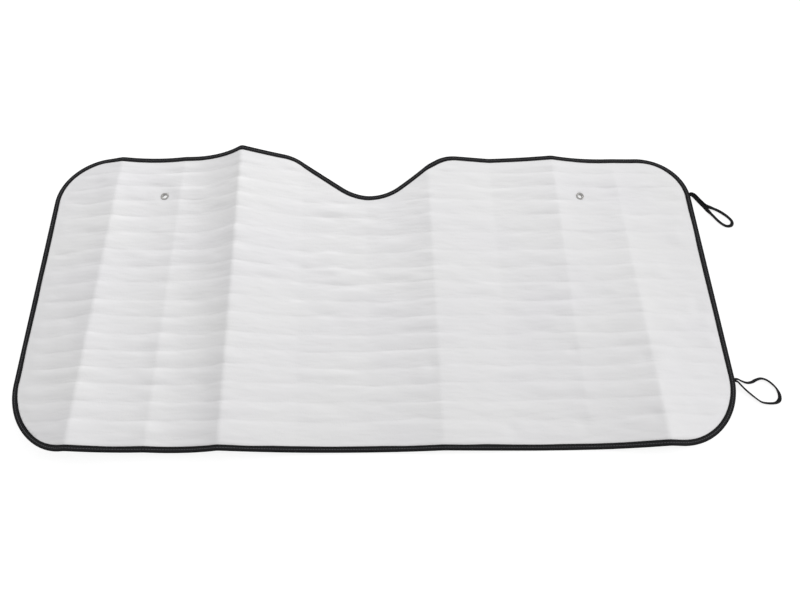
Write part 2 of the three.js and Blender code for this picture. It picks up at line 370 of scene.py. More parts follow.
@dataclass(frozen=True)
class Corner:
    """A corner of the cut, with the radius that rounds it."""

    s: float
    t: float
    radius: float


@dataclass
class Cut:
    """The sheet's flat outline: rounded corners and the mirror notch in the top edge."""

    half_width: float = 650.0
    half_height: float = 300.0
    top_radius: float = 97.0
    bottom_radius: float = 126.0
    notch_half_width: float = 154.0
    notch_depth: float = 105.0
    shoulder_radius: float = 80.0
    root_radius: float = 99.0
    step: float = 3.0
    arc_points: int = 40
    batch: int = 4000
    edge: np.ndarray = field(init=False)

    def __post_init__(self) -> None:
        """Keeps the outline itself for distances."""
        self.edge = self.outline(0.0)

    def corners(self) -> list[Corner]:
        """Gives the corners of the cut before they are rounded.

        Returns:
            The corners in order, against the clock.
        """
        w, h, n = self.half_width, self.half_height, self.notch_half_width
        return [
            Corner(-w, -h, self.bottom_radius),
            Corner(w, -h, self.bottom_radius),
            Corner(w, h, self.top_radius),
            Corner(n, h, self.shoulder_radius),
            Corner(0, h - self.notch_depth, self.root_radius),
            Corner(-n, h, self.shoulder_radius),
            Corner(-w, h, self.top_radius),
        ]

    def outline(self, inset: float) -> np.ndarray:
        """Gives evenly spaced points of the outline, pulled in by inset.

        Args:
            inset: Distance from the edge, inwards.

        Returns:
            One row of s and t for each point, against the clock.
        """
        corners = self.corners()
        points: list[np.ndarray] = []
        for i, corner in enumerate(corners):
            points.extend(self.arc(corners[i - 1], corner, corners[(i + 1) % len(corners)], inset))
        ring = np.array(points + points[:1])
        length = lengths(ring)[-1]
        count = int(round(length / self.step))
        return points_at(ring, np.arange(count) * length / count)

    def arc(self, before: Corner, corner: Corner, after: Corner, inset: float) -> list[np.ndarray]:
        """Rounds one corner.

        Args:
            before: The corner before it.
            corner: The corner.
            after: The corner after it.
            inset: Distance from the edge, inwards.

        Returns:
            Points along the arc.
        """
        at = np.array([corner.s, corner.t])
        back = np.array([before.s, before.t]) - at
        ahead = np.array([after.s, after.t]) - at
        back, ahead = back / np.linalg.norm(back), ahead / np.linalg.norm(ahead)
        turn = math.pi - math.acos(float(back @ ahead))
        side = 1 if ahead[0] * back[1] - ahead[1] * back[0] > 0 else -1
        middle = (back + ahead) / np.linalg.norm(back + ahead)
        centre = at + middle * corner.radius / math.cos(turn / 2)
        radius = corner.radius - side * inset
        start = math.atan2(-middle[1], -middle[0])
        angles = start + side * turn * np.linspace(-0.5, 0.5, self.arc_points)
        return [centre + radius * np.array([math.cos(a), math.sin(a)]) for a in angles]

    @staticmethod
    def inwards(points: np.ndarray) -> np.ndarray:
        """Gives the unit directions in from the edge at the points of a closed outline.

        Args:
            points: Points of the outline, against the clock.

        Returns:
            One direction for each point.
        """
        along = np.roll(points, -1, axis=0) - np.roll(points, 1, axis=0)
        along /= np.linalg.norm(along, axis=1, keepdims=True)
        return np.stack([-along[:, 1], along[:, 0]], axis=-1)

    def nearest(self, places: np.ndarray, ring: np.ndarray) -> np.ndarray:
        """Gives the nearest point of a closed outline for each place.

        Args:
            places: One row of s and t for each place.
            ring: Points of the outline.

        Returns:
            One row of s and t for each place.
        """
        found = np.empty_like(places)
        follow = np.roll(ring, -1, axis=0) - ring
        length = (follow**2).sum(axis=1)
        for start in range(0, len(places), self.batch):
            part = places[start : start + self.batch]
            share = ((part[:, None] - ring[None]) * follow[None]).sum(axis=2) / length[None]
            foot = ring[None] + follow[None] * np.clip(share, 0, 1)[..., None]
            best = ((foot - part[:, None]) ** 2).sum(axis=2).argmin(axis=1)
            found[start : start + self.batch] = foot[np.arange(len(part)), best]
        return found

    def depth(self, places: np.ndarray) -> np.ndarray:
        """Gives the distance in from the edge at each place, negative outside.

        Args:
            places: One row of s and t for each place.

        Returns:
            One distance for each place.
        """
        distance = np.linalg.norm(self.nearest(places, self.edge) - places, axis=1)
        inside = np.zeros(len(places), dtype=bool)
        for a, b in zip(self.edge, np.roll(self.edge, -1, axis=0)):
            if a[1] != b[1]:
                crossed = (a[1] > places[:, 1]) != (b[1] > places[:, 1])
                meets = a[0] + (places[:, 1] - a[1]) / (b[1] - a[1]) * (b[0] - a[0])
                inside ^= crossed & (places[:, 0] < meets)
        return np.where(inside, distance, -distance)


# Finishes


class Finish:
    """What every finish shares: it makes a material from its own values."""

    name: str

    def inputs(self, tree: bpy.types.NodeTree) -> dict[str, Any]:
        """Adds the finish's own nodes and gives what goes into its shader."""
        raise NotImplementedError

    def material(self) -> bpy.types.Material:
        """Makes the material: the finish's own nodes, a Principled shader and the output.

        Returns:
            The new material.
        """
        material = bpy.data.materials.new(self.name)
        material.use_nodes = True
        tree = material.node_tree
        tree.nodes.clear()
        shader = add_node(tree, "ShaderNodeBsdfPrincipled", inputs=self.inputs(tree))
        add_node(tree, "ShaderNodeOutputMaterial", inputs={"Surface": shader.outputs["BSDF"]})
        return material


@dataclass(frozen=True)
class SilverFilm(Finish):
    """Matt silver-white polyethylene film, heat-laminated to closed-cell foam.

    It is pale and softly shiny, with fine crinkles across the roll and the bubbles of the foam
    showing through as a faint pebble. Each bump is its strength and its depth in millimetres.
    """

    name: str = "silver_film_on_foam"
    base: str = "#e4e4e3"
    cloud: str = "#dfdee1"
    clouds_per_metre: tuple[float, float] = (4.5, 7.0)
    roughness: float = 0.55
    roughness_spread: tuple[float, float] = (0.06, 0.08)
    metallic: float = 0.03
    pucker_length: float = 28.0
    pucker_width: float = 7.0
    pucker_bump: tuple[float, float] = (0.8, 0.8)
    crinkle_length: float = 16.0
    crinkle_width: float = 3.4
    crinkle_bump: tuple[float, float] = (0.4, 0.22)
    bubble: float = 2.4
    bubble_bump: tuple[float, float] = (0.45, 0.3)

    def inputs(self, tree: bpy.types.NodeTree) -> dict[str, Any]:
        """Adds the clouds, puckers, crinkles and bubbles.

        Args:
            tree: The material's node tree.

        Returns:
            A value or a socket for each input of the shader.
        """
        # Uneven metal layer: broad faint clouds
        place = flat_pattern(tree, self.clouds_per_metre)
        clouds = add_node(tree, "ShaderNodeTexNoise", inputs={"Vector": place, "Scale": 1.0, "Detail": 3.0})
        values = {"Factor": clouds.outputs["Fac"], "A": linear(self.base), "B": linear(self.cloud)}
        colour = add_node(tree, "ShaderNodeMix", {"data_type": "RGBA"}, values)

        # Puckers and crinkles lie across the roll, so they are long in U and narrow in V
        place = flat_pattern(tree, (1 / (self.pucker_length * MM), 1 / (self.pucker_width * MM)))
        values = {"Vector": place, "Scale": 1.0, "Detail": 0.5, "Distortion": 0.2}
        puckers = add_node(tree, "ShaderNodeTexNoise", inputs=values)
        place = flat_pattern(tree, (1 / (self.crinkle_length * MM), 1 / (self.crinkle_width * MM)))
        values = {"Vector": place, "Scale": 1.0, "Detail": 4.0, "Roughness": 0.6}
        crinkles = add_node(tree, "ShaderNodeTexNoise", inputs=values)
        place = flat_pattern(tree, (1 / (self.bubble * MM), 1 / (self.bubble * MM)))
        values = {"Vector": place, "Scale": 1.0}
        bubbles = add_node(tree, "ShaderNodeTexVoronoi", {"feature": "SMOOTH_F1"}, values)
        less, more = self.roughness_spread
        values = {
            "Value": crinkles.outputs["Fac"],
            "To Min": self.roughness - less,
            "To Max": self.roughness + more,
        }
        gloss = add_node(tree, "ShaderNodeMapRange", inputs=values)

        # Each bump lies on the one before it
        normal: dict[str, Any] = {}
        for height, (strength, depth) in (
            (puckers.outputs["Fac"], self.pucker_bump),
            (crinkles.outputs["Fac"], self.crinkle_bump),
            (bubbles.outputs["Distance"], self.bubble_bump),
        ):
            values = {"Height": height, "Strength": strength, "Distance": depth * MM, **normal}
            normal = {"Normal": add_node(tree, "ShaderNodeBump", inputs=values).outputs["Normal"]}
        return {
            "Base Color": colour.outputs["Result"],
            "Metallic": self.metallic,
            "Roughness": gloss.outputs["Result"],
            "Specular IOR Level": 0.3,
            **normal,
        }


@dataclass(frozen=True)
class WovenTape(Finish):
    """Black woven polyester binding tape: dull, with ribs across it, and greyer along the seam by a painted
    sheen, darker towards both edges.
    """

    name: str = "woven_polyester_tape"
    warp_sheen: str = "#2a2a2c"
    shade: str = "#0e0e0f"
    roughness: float = 0.75
    rib: float = 1.1
    rib_stretch: float = 3.2

    def inputs(self, tree: bpy.types.NodeTree) -> dict[str, Any]:
        """Adds the woven ribs, and threads that are paler along the seam, where a sheen is painted.

        Args:
            tree: The material's node tree.

        Returns:
            A value or a socket for each input of the shader.
        """
        turns = 1 / (self.rib * MM)
        place = flat_pattern(tree, (turns / self.rib_stretch, turns))
        values = {"Vector": place, "Scale": 1.0, "Distortion": 0.6}
        ribs = add_node(
            tree, "ShaderNodeTexWave", {"bands_direction": "X", "wave_profile": "SIN"}, values
        )
        place = flat_pattern(tree, (turns * 0.5, turns * 1.6))
        threads = add_node(tree, "ShaderNodeTexNoise", inputs={"Vector": place, "Scale": 1.0, "Detail": 2.0})
        # Painted sheen: the colour runs from the dark shade colour at the tape's edges to the paler warp
        # colour along the seam
        painted_sheen = {"attribute_name": PAINTED_SHEEN_SHARE, "attribute_type": "GEOMETRY"}
        values = {0: threads.outputs["Fac"], 1: add_node(tree, "ShaderNodeAttribute", painted_sheen).outputs["Fac"]}
        share = add_node(tree, "ShaderNodeMath", {"operation": "MULTIPLY"}, values)
        values = {"Factor": share.outputs[0], "A": linear(self.shade), "B": linear(self.warp_sheen)}
        colour = add_node(tree, "ShaderNodeMix", {"data_type": "RGBA"}, values)
        values = {"Height": ribs.outputs["Fac"], "Strength": 0.7, "Distance": 0.25 * MM}
        return {
            "Base Color": colour.outputs["Result"],
            "Roughness": self.roughness,
            "Specular IOR Level": 0.12,
            "Normal": add_node(tree, "ShaderNodeBump", inputs=values).outputs["Normal"],
        }


@dataclass(frozen=True)
class SewingThread(Finish):
    """Spun black polyester thread: a soft dark grey where it catches the light."""

    name: str = "spun_polyester_thread"
    light: str = "#66666a"
    dark: str = "#333336"
    roughness: float = 0.6
    twist: float = 0.5

    def inputs(self, tree: bpy.types.NodeTree) -> dict[str, Any]:
        """Adds the fibres.

        Args:
            tree: The material's node tree.

        Returns:
            A value or a socket for each input of the shader.
        """
        place = add_node(tree, "ShaderNodeTexCoord").outputs["Object"]
        values = {"Vector": place, "Scale": 1 / (self.twist * MM), "Detail": 2.0}
        fibres = add_node(tree, "ShaderNodeTexNoise", inputs=values)
        values = {"Factor": fibres.outputs["Fac"], "A": linear(self.dark), "B": linear(self.light)}
        colour = add_node(tree, "ShaderNodeMix", {"data_type": "RGBA"}, values)
        return {"Base Color": colour.outputs["Result"], "Roughness": self.roughness}


@dataclass(frozen=True)
class BraidedElastic(Finish):
    """Black braided elastic: crossed yarns over rubber, dull with a little sheen."""

    name: str = "braided_elastic"
    yarn: str = "#151517"
    gap: str = "#070708"
    roughness: float = 0.68
    plait: float = 1.6
    wave: float = 6.28

    def inputs(self, tree: bpy.types.NodeTree) -> dict[str, Any]:
        """Adds the yarns, as two waves that lean either way.

        Args:
            tree: The material's node tree.

        Returns:
            A value or a socket for each input of the shader.
        """
        turns = 1 / (self.plait * MM) / self.wave
        yarns = []
        for lean in (1, -1):
            place = flat_pattern(tree, (turns, lean * turns))
            values = {"Vector": place, "Scale": 3.0, "Distortion": 0.2}
            yarns.append(add_node(tree, "ShaderNodeTexWave", {"bands_direction": "DIAGONAL"}, values))
        values = {number: yarn.outputs["Fac"] for number, yarn in enumerate(yarns)}
        crossed = add_node(tree, "ShaderNodeMath", {"operation": "MAXIMUM"}, values).outputs[0]
        values = {"Factor": crossed, "A": linear(self.gap), "B": linear(self.yarn)}
        colour = add_node(tree, "ShaderNodeMix", {"data_type": "RGBA"}, values)
        values = {"Height": crossed, "Strength": 0.8, "Distance": 0.3 * MM}
        return {
            "Base Color": colour.outputs["Result"],
            "Roughness": self.roughness,
            "Specular IOR Level": 0.12,
            "Normal": add_node(tree, "ShaderNodeBump", inputs=values).outputs["Normal"],
        }


@dataclass(frozen=True)
class NickelPlate(Finish):
    """Nickel-plated steel, pressed and barrel-plated: grey metal, softly clouded."""

    name: str = "nickel_plated_steel"
    metal: str = "#a7a6a4"
    tarnish: str = "#8c8a88"
    roughness: float = 0.3
    roughness_spread: tuple[float, float] = (0.08, 0.1)
    grain: float = 1.8

    def inputs(self, tree: bpy.types.NodeTree) -> dict[str, Any]:
        """Adds the clouds, which are duller as well as darker.

        Args:
            tree: The material's node tree.

        Returns:
            A value or a socket for each input of the shader.
        """
        place = add_node(tree, "ShaderNodeTexCoord").outputs["Object"]
        values = {"Vector": place, "Scale": 1 / (self.grain * MM), "Detail": 3.0}
        clouds = add_node(tree, "ShaderNodeTexNoise", inputs=values).outputs["Fac"]
        values = {"Factor": clouds, "A": linear(self.metal), "B": linear(self.tarnish)}
        colour = add_node(tree, "ShaderNodeMix", {"data_type": "RGBA"}, values)
        less, more = self.roughness_spread
        values = {"Value": clouds, "To Min": self.roughness - less, "To Max": self.roughness + more}
        gloss = add_node(tree, "ShaderNodeMapRange", inputs=values)
        return {
            "Base Color": colour.outputs["Result"],
            "Metallic": 1.0,
            "Roughness": gloss.outputs["Result"],
        }


@dataclass(frozen=True)
class PaleFloor(Finish):
    """Matt floor that is white where it is seen, and a pale grey to the light it throws back."""

    name: str = "white_studio_floor"
    lit: str = "#ececec"
    seen_as: str = "#9c9c9c"
    glow: float = 0.8

    def inputs(self, tree: bpy.types.NodeTree) -> dict[str, Any]:
        """Adds the glow, which only rays that see the floor meet.

        Args:
            tree: The material's node tree.

        Returns:
            A value or a socket for each input of the shader.
        """
        share = seen(tree)
        values = {"Factor": share, "A": linear(self.lit), "B": linear(self.seen_as)}
        colour = add_node(tree, "ShaderNodeMix", {"data_type": "RGBA"}, values)
        glow = add_node(tree, "ShaderNodeMath", {"operation": "MULTIPLY"}, {0: share, 1: self.glow})
        return {
            "Base Color": colour.outputs["Result"],
            "Roughness": 0.9,
            "Specular IOR Level": 0.1,
            "Emission Color": (1.0, 1.0, 1.0, 1.0),
            "Emission Strength": glow.outputs[0],
        }


# Sheet


@dataclass(frozen=True)
class Dent:
    """A shallow local dent or bulge of the sheet, long across its lean."""

    s: float
    t: float
    reach_s: float
    reach_t: float
    height: float
    lean: float = 0.0


@dataclass
class Relief:
    """What stands proud of the smooth folds: rolled ribs, puckers between them and local dents.

    The ribs run along the width. Each rises from a groove and falls back to the next one more
    steeply, as the film draws the foam in while it cools, and they stand highest beside the
    crimped creases.
    """

    fold: Fold
    cut: Cut
    grooves: tuple[float, ...] = (
        -284, -246, -213, -180.5, -150, -118.5, -87.5, -52, -19.5,
        17.5, 49.5, 84, 123.5, 162, 196, 229, 262, 292,
    )
    rib_height: float = 0.85
    rib_peak: float = 0.62
    rib_wander: float = 3.2
    rib_shares: tuple[float, ...] = (1.6, 1.15, 1.6, 1.15, 1.75, 1.35, 0.95, 1.25, 1.12, 1.6)
    long_wander: Noise = Noise(0.7, 90.0, 11, shift=97.0)
    short_wander: Noise = Noise(0.3, 27.0, 12, shift=61.0)
    pucker_height: float = 0.7
    pucker_width: float = 11.5
    pucker_row: float = 64.0
    puckers: Noise = Noise(1.0, 48.0, 51, shift=131.0)
    usual_strength: float = 0.85
    strengths: tuple[float, float] = (0.1, 2.4)
    broad_change: Noise = Noise(0.35, 110.0, 21, shift=173.0)
    short_change: Noise = Noise(0.4, 26.0, 22, shift=57.0)
    crimped: tuple[float, ...] = (-521.0, -393.0, -265.0, 119.0, 375.0, 503.0)
    crimp: float = 0.9
    crimp_reach: float = 38.0
    crimp_stop: float = 14.0
    edge_fade: tuple[float, float] = (11.0, 30.0)
    eyelet_places: tuple[tuple[float, float], ...] = ((-425.0, 207.0), (425.0, 207.0))
    eyelet_fade: tuple[float, float] = (9.0, 26.0)
    dents: tuple[Dent, ...] = (
        Dent(494, -140, 15, 11, -3.0, 20),
        Dent(520, -152, 22, 9, 1.6, -10),
        Dent(366, -121, 10, 9, -2.2),
        Dent(107, -150, 13, 10, -2.2),
        Dent(240, -262, 12, 10, -1.6),
        Dent(366, -256, 13, 11, -2.4),
        Dent(492, -250, 14, 12, -2.6),
        Dent(352, 214, 22, 8, 1.6, 15),
        Dent(478, 226, 30, 8, -1.5, -12),
        Dent(560, 232, 26, 9, 1.5, 18),
        Dent(604, 120, 14, 26, 1.4, 0),
        Dent(612, -40, 12, 30, -1.4, 5),
        Dent(440, 129, 60, 4, 1.2, 0),
        Dent(-560, -60, 20, 12, -1.8, 8),
        Dent(-548, 60, 24, 10, -1.4, -6),
        Dent(-418, -120, 22, 12, -1.5, 5),
        Dent(-292, 30, 18, 12, -2.0, 0),
        Dent(-300, -190, 20, 13, -2.2, 6),
        Dent(-60, 176, 46, 5, 1.3, -4),
    )

    def between(self, t: np.ndarray) -> tuple[np.ndarray, np.ndarray]:
        """Finds where places lie between two grooves.

        Args:
            t: Places along the flat height, less the wander of the grooves.

        Returns:
            The number of the groove below each place, and the share of the way to the next one.
        """
        lines = np.array(self.grooves)
        row = np.clip(np.searchsorted(lines, t) - 1, 0, len(lines) - 2)
        return row, np.clip((t - lines[row]) / (lines[row + 1] - lines[row]), 0, 1)

    def wander(self, s: np.ndarray, t: np.ndarray) -> np.ndarray:
        """Gives how far a groove, or a line between two, strays from its straight line.

        Args:
            s: Places along the flat width.
            t: Places along the flat height of the straight lines.

        Returns:
            One distance along the height for each place.
        """
        row, part = self.between(t)
        low, high = (self.long_wander.at(s, line) + self.short_wander.at(s, line) for line in (row, row + 1))
        return self.rib_wander * (low * (1 - part) + high * part)

    def rib(self, t: np.ndarray) -> np.ndarray:
        """Gives the shape of the ribs from groove to groove.

        Args:
            t: Places along the flat height, less the wander of the grooves.

        Returns:
            The rib's share of its full height at each place.
        """
        along = self.between(t)[1]
        rising = np.sin(0.5 * math.pi * along / self.rib_peak)
        falling = np.cos(0.5 * math.pi * (along - self.rib_peak) / (1 - self.rib_peak))
        return np.where(along < self.rib_peak, rising, falling)

    def pucker(self, s: np.ndarray, t: np.ndarray) -> np.ndarray:
        """Gives the irregular puckers between the ribs, long across the roll.

        Args:
            s: Places along the flat width.
            t: Places along the flat height.

        Returns:
            One value from about -1 to 1 for each place.
        """
        along = t / self.pucker_width + self.pucker_row
        row = np.floor(along)
        blend = ease(along - row)
        return self.puckers.at(s, row) * (1 - blend) + self.puckers.at(s, row + 1) * blend

    def strength(self, s: np.ndarray, t: np.ndarray) -> np.ndarray:
        """Gives how strongly the ribs show from place to place.

        Args:
            s: Places along the flat width.
            t: Places along the flat height, less the wander of the grooves.

        Returns:
            One factor for each place.
        """
        row = self.between(t)[0]
        climb = sum(
            np.exp(-np.abs(s - peak) / np.where(s < peak, self.crimp_reach, self.crimp_stop))
            for peak in self.crimped
        )
        middles = (self.fold.lines[1:] + self.fold.lines[:-1]) / 2
        uneven = self.usual_strength + self.broad_change.at(s, row) + self.short_change.at(s, row)
        return np.interp(s, middles, self.rib_shares) * np.clip(uneven + self.crimp * climb, *self.strengths)

    def lift(self, s: np.ndarray, t: np.ndarray, straight: np.ndarray) -> np.ndarray:
        """Gives the height over the smooth folds.

        Args:
            s: Places along the flat width.
            t: Places along the flat height.
            straight: The same, less the wander of the grooves.

        Returns:
            One height for each place.
        """
        bands = self.rib_height * self.rib(straight) + self.pucker_height * self.pucker(s, t)
        height = self.strength(s, straight) * bands
        for dent in self.dents:
            turn = math.radians(dent.lean)
            a = (s - dent.s) * math.cos(turn) + (t - dent.t) * math.sin(turn)
            b = (t - dent.t) * math.cos(turn) - (s - dent.s) * math.sin(turn)
            height = height + dent.height * np.exp(-((a / dent.reach_s) ** 2) - (b / dent.reach_t) ** 2)
        depth = self.cut.depth(np.stack([s, t], axis=-1))
        low, high = self.edge_fade
        fade = np.clip((depth - low) / (high - low), 0, 1)
        near, far = self.eyelet_fade
        for place in self.eyelet_places:
            away = np.hypot(s - place[0], t - place[1])
            fade = fade * np.clip((away - near) / (far - near), 0, 1)
        return height * ease(fade)


@dataclass
class FoamSheet:
    """The foam sheet with its film: one sheet, folded, ribbed and holed for the eyelets."""

    fold: Fold
    cut: Cut
    relief: Relief
    thickness: float = 2.4
    edge_inset: float = 1.4
    hole_radius: float = 5.1
    coarse: float = 7.0
    closest: float = 1.2
    edge_row: float = 8.0
    straight_edge: float = 12.0
    crease_offsets: tuple[float, ...] = (-5.0, -2.5, 0.0, 2.5, 5.0)
    eyelet_offsets: tuple[float, ...] = (-9, -6.5, -4.5, -2.5, 0, 2.5, 4.5, 6.5, 9)
    rib_rows: tuple[float, ...] = (0.0, 0.05, 0.12, 0.22, 0.35, 0.5, 0.64, 0.76, 0.87, 0.95)

    def columns(self) -> np.ndarray:
        """Spaces the grid along the width.

        Returns:
            Places from left to right, close together at creases and eyelets.
        """
        wanted = [line + offset for line in self.fold.lines[1:-1] for offset in self.crease_offsets]
        wanted += [place[0] + offset for place in self.relief.eyelet_places for offset in self.eyelet_offsets]
        half = self.fold.flat_width / 2
        wanted = sorted(w for w in [*wanted, -half, half] if abs(w) <= half)
        filled: list[float] = []
        for low, high in zip(wanted, wanted[1:]):
            count = max(1, math.ceil((high - low) / self.coarse))
            filled.extend(low + (high - low) * np.arange(count) / count)
        filled.append(wanted[-1])
        kept = [filled[0]]
        for value in filled[1:]:
            if value - kept[-1] > self.closest:
                kept.append(value)
        return np.array(kept)

    def rows(self) -> np.ndarray:
        """Spaces the grid along the height.

        Returns:
            Places from the front up, close together at the grooves of the ribs.
        """
        grooves = self.relief.grooves
        rows = [a + (b - a) * part for a, b in zip(grooves, grooves[1:]) for part in self.rib_rows]
        half = self.fold.flat_height / 2
        return np.array([-half, -half + self.edge_row, *rows, grooves[-1], half])

    def build(self, material: bpy.types.Material) -> bpy.types.Object:
        """Makes the sheet.

        Args:
            material: The film's finish.

        Returns:
            The finished sheet.
        """
        columns, rows = self.columns(), self.rows()
        s, straight = (grid.ravel() for grid in np.meshgrid(columns, rows))
        inner = np.clip((self.fold.flat_height / 2 - np.abs(straight)) / self.straight_edge, 0, 1)
        t = straight + inner * self.relief.wander(s, straight)
        flat = np.stack([s, t], axis=-1)
        holes = [np.hypot(s - a, t - b) for a, b in self.relief.eyelet_places]
        kept = self.cut.depth(flat) > self.edge_inset
        for away in holes:
            kept &= away > self.hole_radius

        corner = np.arange(len(s)).reshape(len(rows), len(columns))
        quads = np.stack([corner[:-1, :-1], corner[:-1, 1:], corner[1:, 1:], corner[1:, :-1]], axis=-1)
        quads = quads.reshape(-1, 4)
        quads = quads[kept[quads].all(axis=1)]

        # The border is drawn out to the cut, and to the holes' rims
        border = self.border(quads)
        near = 3 * self.hole_radius
        for away, middle in zip(holes, self.relief.eyelet_places):
            rim = border[away[border] < near]
            flat[rim] = np.array(middle) + (flat[rim] - middle) / away[rim, None] * self.hole_radius
            border = border[away[border] >= near]
        flat[border] = self.cut.nearest(flat[border], self.cut.outline(self.edge_inset))

        lift = self.relief.lift(flat[:, 0], flat[:, 1], straight)
        points = self.fold.place(flat[:, 0], flat[:, 1], lift)
        used, renumbered = np.unique(quads, return_inverse=True)
        faces = [tuple(int(v) for v in quad) for quad in renumbered.reshape(-1, 4)]
        sheet = make_mesh("film_faced_foam_sheet", points[used], faces, material, flat[used])
        only(sheet)
        solidify = sheet.modifiers.new("thickness", "SOLIDIFY")
        solidify.thickness = self.thickness * MM
        solidify.offset = 0.0
        bpy.ops.object.modifier_apply(modifier=solidify.name)
        return sheet

    @staticmethod
    def border(quads: np.ndarray) -> np.ndarray:
        """Finds the open border of a patch of quads.

        Args:
            quads: Vertex numbers of each quad.

        Returns:
            The numbers of the vertices on the border.
        """
        edges = np.sort(np.concatenate([quads[:, [k, (k + 1) % 4]] for k in range(4)]), axis=1)
        unique, count = np.unique(edges, axis=0, return_counts=True)
        return np.unique(unique[count == 1])


# Edge binding


@dataclass
class EdgeBinding:
    """Woven tape folded over the sheet's edge all round, and the seam that holds it.

    The profile is [distance in from the edge, height over the sheet's middle] on the upper side.
    """

    fold: Fold
    cut: Cut
    outer: tuple[tuple[float, float], ...] = (
        (10.4, 1.4), (10.3, 1.9), (9.2, 2.16), (7.6, 2.2), (6.3, 2.05), (5.4, 1.75),
        (4.5, 2.05), (3.2, 2.2), (1.8, 1.98), (0.75, 1.5), (0.2, 0.8), (0.0, 0.0),
    )
    inner: tuple[tuple[float, float], ...] = ((1.1, 0.0), (1.3, 1.32))
    uneven_from: float = 5.0
    uneven_width: Noise = Noise(0.6 / 11, 46.0, 31)
    pinch: Noise = Noise(0.05, 9.0, 32)
    # Width and strength of the painted sheen along the seam
    sheen_reach: float = 3.4
    sheen_most: float = 1.25
    sheen_least: float = 0.1
    seam_inset: float = 5.4
    stitch_pitch: float = 4.6
    stitch_length: float = 3.7
    stitch_width: float = 0.75
    stitch_height: float = 0.5
    stitch_seat: float = 1.82
    stitch_rise: float = 0.12
    stations: tuple[float, ...] = (0.0, 0.16, 0.5, 0.84, 1.0)
    bulges: tuple[float, ...] = (0.25, 0.9, 1.0, 0.9, 0.25)
    thread_section: tuple[tuple[float, float], ...] = (
        (1.0, 0.0), (0.55, 0.85), (-0.55, 0.85), (-1.0, 0.0), (0.0, -0.6),
    )

    def profile(self) -> np.ndarray:
        """Gives the closed profile of the folded tape.

        Returns:
            Its points, from the upper inner lip round the edge and back inside.
        """
        upper = list(self.outer)
        lower = [(d, -h) for d, h in reversed(upper[:-1])]
        inside = [(self.inner[1][0], -self.inner[1][1]), self.inner[0], self.inner[1]]
        return np.array(upper + lower + inside)

    def build(self, material: bpy.types.Material) -> bpy.types.Object:
        """Makes the tape.

        Args:
            material: The tape's finish.

        Returns:
            The finished tape.
        """
        profile = self.profile()
        edge = self.cut.edge
        inwards = self.cut.inwards(edge)
        length, girth = lengths(edge), lengths(profile)
        wide = 1 + self.uneven_width.at(length)
        d = profile[None, :, 0] * np.where(profile[None, :, 0] > self.uneven_from, wide[:, None], 1)
        s = edge[:, None, 0] + inwards[:, None, 0] * d
        t = edge[:, None, 1] + inwards[:, None, 1] * d
        pinched = 1 - self.pinch.weight - self.pinch.at(length)
        height = profile[None, :, 1] * pinched[:, None]
        points = self.fold.place(s, t) + self.fold.normal(s, t) * height[..., None]
        flat = np.stack(np.broadcast_arrays(length[:, None], girth[None, :]), axis=-1)
        faces = tube_faces(len(edge), len(profile), closed=True)
        tape = make_mesh("edge_binding_tape", points.reshape(-1, 3), faces, material, flat.reshape(-1, 2))
        # Painted sheen: a share that is highest along the seam and least towards the edges, and pales the
        # tape's colour there
        away = np.abs(profile[:, 0] - self.seam_inset) / self.sheen_reach
        painted_sheen = np.tile(np.clip(self.sheen_most - away, self.sheen_least, 1), len(edge))
        tape.data.attributes.new(PAINTED_SHEEN_SHARE, "FLOAT", "POINT").data.foreach_set("value", painted_sheen)
        return tape

    def seam(self, material: bpy.types.Material, face: Face) -> bpy.types.Object:
        """Makes the lockstitch seam on one face.

        Args:
            material: The thread's finish.
            face: The face of the sheet.

        Returns:
            The finished seam.
        """
        line = self.cut.outline(self.seam_inset)
        length = lengths(line)[-1]
        count = int(length / self.stitch_pitch)
        starts = np.arange(count) * length / count
        bulge = np.array(self.bulges)[None, :, None]
        ring = np.array(self.thread_section)
        along = starts[:, None] + np.array(self.stations)[None] * self.stitch_length
        s, t = np.moveaxis(points_at(line, along), -1, 0)
        reach = 0.5
        ds, dt = np.moveaxis(points_at(line, along + reach) - points_at(line, along - reach), -1, 0)
        size = np.hypot(ds, dt) + 1e-9
        across = ring[None, None, :, 0] * bulge * self.stitch_width / 2
        rise = ring[None, None, :, 1] * bulge * self.stitch_height / 2
        s = s[..., None] - (dt / size)[..., None] * across
        t = t[..., None] + (ds / size)[..., None] * across
        base = self.stitch_seat + self.stitch_rise * (bulge - self.bulges[0])
        points = self.fold.place(s, t) + face.value * self.fold.normal(s, t) * (base + rise)[..., None]
        around, steps = len(ring), len(self.stations)
        faces: list[tuple[int, ...]] = []
        for i in range(count):
            faces.extend(tube_faces(steps, around, i * around * steps, flipped=face is Face.UNDER))
        return make_mesh(f"binding_seam_{face.name.lower()}", points.reshape(-1, 3), faces, material)


# Eyelets


